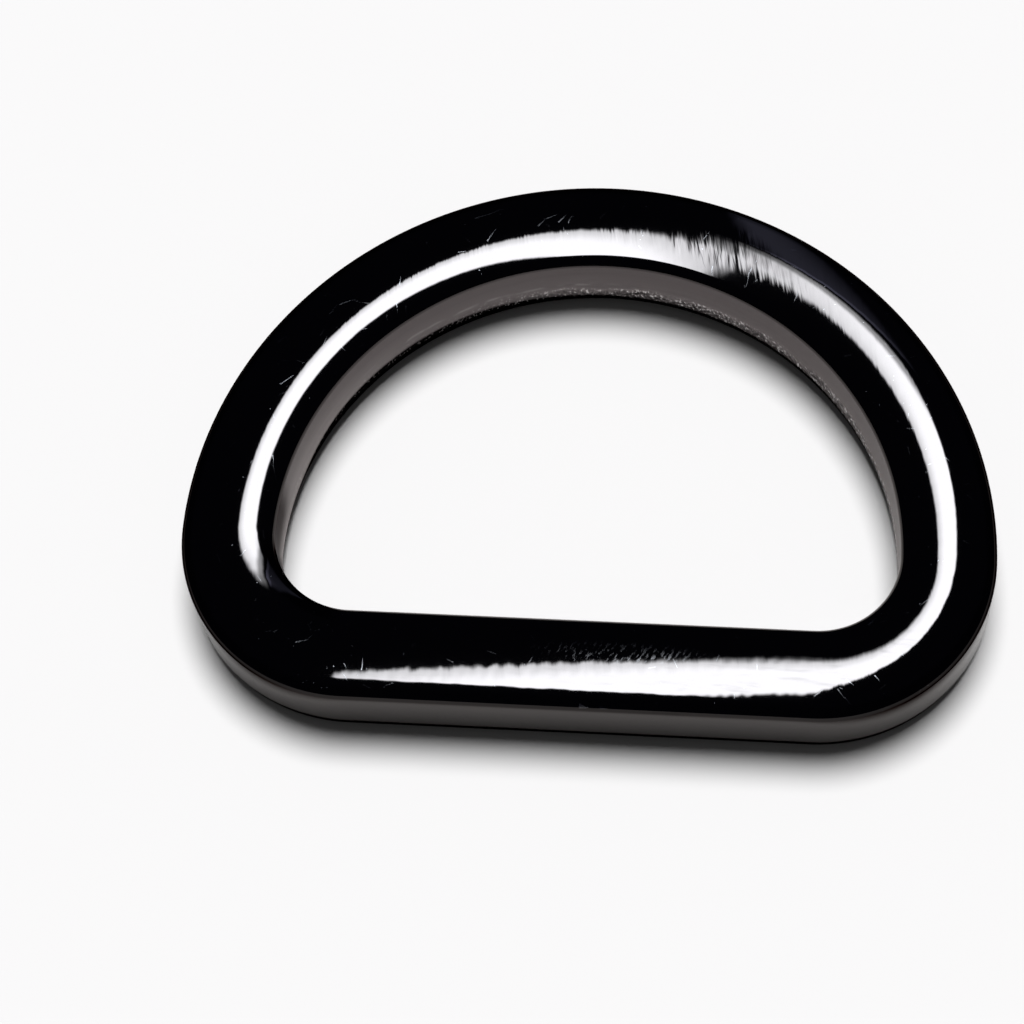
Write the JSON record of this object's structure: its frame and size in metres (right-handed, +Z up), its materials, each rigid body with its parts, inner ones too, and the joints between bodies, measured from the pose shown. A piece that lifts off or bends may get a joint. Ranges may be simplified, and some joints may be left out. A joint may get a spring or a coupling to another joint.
{
  "type": "d ring",
  "caption": "Die-cast D ring with a half-round bow, a straight strap bar, a domed face and a flat back.",
  "frame": {"origin": "middle of the outline seen from above, on the flat back that the ring lies on", "axes": "+X along the straight bar, +Y from the bar towards the crown of the bow, +Z up out of the domed face"},
  "size_m": [0.0326, 0.0234, 0.0039],
  "materials": {
    "black_nickel": "polished black-nickel plate over a zinc die casting, with light handling scratches"
  },
  "bodies": {
    "root": {"d_ring": "black_nickel"}
  },
  "joints": []
}
